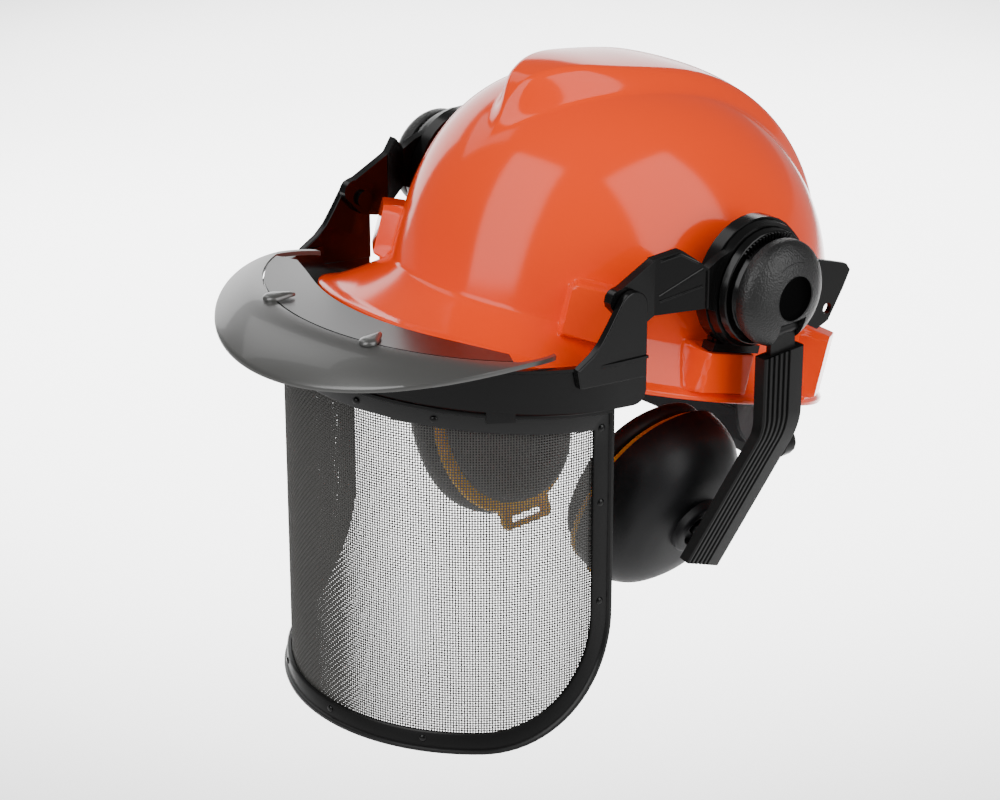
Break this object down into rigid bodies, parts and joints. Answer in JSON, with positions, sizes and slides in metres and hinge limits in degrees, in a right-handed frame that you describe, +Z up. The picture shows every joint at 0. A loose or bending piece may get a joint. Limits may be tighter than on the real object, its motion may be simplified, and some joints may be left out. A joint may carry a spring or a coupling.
{
  "type": "hard hat",
  "caption": "Forestry hard hat with a ridged shell and short peak, hinged mesh face screen under a sun peak, and ear muffs on sliding side arms.",
  "frame": {"origin": "middle of the wearer's head at the height of the shell's side rim", "axes": "+Z up, -Y to the front, +X to the wearer's left; worn pose"},
  "size_m": [0.277, 0.3589, 0.3172],
  "materials": {
    "shell_orange": "gloss",
    "gloss_black": "gloss",
    "satin_black": "satin",
    "charcoal": "matte",
    "amber": "satin",
    "cushion_skin": "satin",
    "foam": "matte",
    "screen_mesh": "satin",
    "pin_steel": "satin",
    "grey_plastic": "matte",
    "webbing": "matte"
  },
  "bodies": {
    "hat": {"shell": "shell_orange", "slot_adaptor_left": "gloss_black", "slot_adaptor_right": "gloss_black", "headband": "satin_black", "sweatband": "cushion_skin", "hanger_front_left": "grey_plastic", "hanger_front_right": "grey_plastic", "hanger_rear_left": "grey_plastic", "hanger_rear_right": "grey_plastic", "crown_strap_a": "webbing", "crown_strap_b": "webbing"},
    "visor_arms": {"visor_arm_left": "gloss_black", "visor_arm_right": "gloss_black", "hinge_pin_left": "satin_black", "hinge_pin_right": "satin_black"},
    "visor": {"carrier": "gloss_black", "peak_deck": "gloss_black", "sun_peak": "gloss_black", "peak_clip_left": "satin_black", "peak_clip_right": "satin_black", "visor_frame": "satin_black", "visor_mesh": "screen_mesh"},
    "nape": {"nape_strap": "satin_black", "ratchet_housing": "satin_black"},
    "knob": {"ratchet_knob": "satin_black"},
    "muff_carrier_left": {"muff_pivot_left": "gloss_black", "dome_cap_left": "satin_black", "swing_pin_left": "pin_steel"},
    "muff_arm_left": {"arm_tongue_left": "satin_black"},
    "muff_band_left": {"arm_band_left": "satin_black", "cup_swivel_left": "satin_black"},
    "muff_cup_left": {"cup_left": "charcoal", "back_plate_left": "amber", "cushion_left": "cushion_skin", "cup_foam_left": "foam"},
    "muff_carrier_right": {"muff_pivot_right": "gloss_black", "dome_cap_right": "satin_black", "swing_pin_right": "pin_steel"},
    "muff_arm_right": {"arm_tongue_right": "satin_black"},
    "muff_band_right": {"arm_band_right": "satin_black", "cup_swivel_right": "satin_black"},
    "muff_cup_right": {"cup_right": "charcoal", "back_plate_right": "amber", "cushion_right": "cushion_skin", "cup_foam_right": "foam"}
  },
  "joints": [
    {"name": "visor_swing", "type": "hinge", "parent": "hat", "child": "visor_arms", "pos_m": [0, -0.005, 0.062], "axis": [-1, 0, 0], "range_deg": [0, 95]},
    {"name": "visor_tilt", "type": "hinge", "parent": "visor_arms", "child": "visor", "pos_m": [0, -0.082, 0.067], "axis": [-1, 0, 0], "range_deg": [-3, 25]},
    {"name": "nape_adjust", "type": "slide", "parent": "hat", "child": "nape", "axis": [0, 1, 0], "range_m": [0, 0.012]},
    {"name": "knob_turn", "type": "hinge", "parent": "nape", "child": "knob", "pos_m": [0, 0.124, -0.092], "axis": [0, 1, 0], "range_deg": [0, 240]},
    {"name": "muff_turn_left", "type": "hinge", "parent": "hat", "child": "muff_carrier_left", "pos_m": [0.117, -0.005, 0.062], "axis": [1, 0, 0], "range_deg": [-6, 1.5]},
    {"name": "muff_swing_left", "type": "hinge", "parent": "muff_carrier_left", "child": "muff_arm_left", "pos_m": [0.1295, -0.005, 0.044], "axis": [0, -1, 0], "range_deg": [0, 30]},
    {"name": "muff_height_left", "type": "slide", "parent": "muff_arm_left", "child": "muff_band_left", "axis": [0, 0, -1], "range_m": [0, 0.02]},
    {"name": "cup_tilt_left", "type": "hinge", "parent": "muff_band_left", "child": "muff_cup_left", "pos_m": [0.0954, -0.024, -0.0709], "axis": [0, -1, 0], "range_deg": [-7, 7]},
    {"name": "muff_turn_right", "type": "hinge", "parent": "hat", "child": "muff_carrier_right", "pos_m": [-0.117, -0.005, 0.062], "axis": [1, 0, 0], "range_deg": [-6, 1.5]},
    {"name": "muff_swing_right", "type": "hinge", "parent": "muff_carrier_right", "child": "muff_arm_right", "pos_m": [-0.1295, -0.005, 0.044], "axis": [0, 1, 0], "range_deg": [0, 30]},
    {"name": "muff_height_right", "type": "slide", "parent": "muff_arm_right", "child": "muff_band_right", "axis": [0, 0, -1], "range_m": [0, 0.02]},
    {"name": "cup_tilt_right", "type": "hinge", "parent": "muff_band_right", "child": "muff_cup_right", "pos_m": [-0.0954, -0.024, -0.0709], "axis": [0, 1, 0], "range_deg": [-7, 7]}
  ],
  "couplings": [
    {"joint": "knob_turn", "follows": "nape_adjust", "rad_per_m": 349}
  ]
}
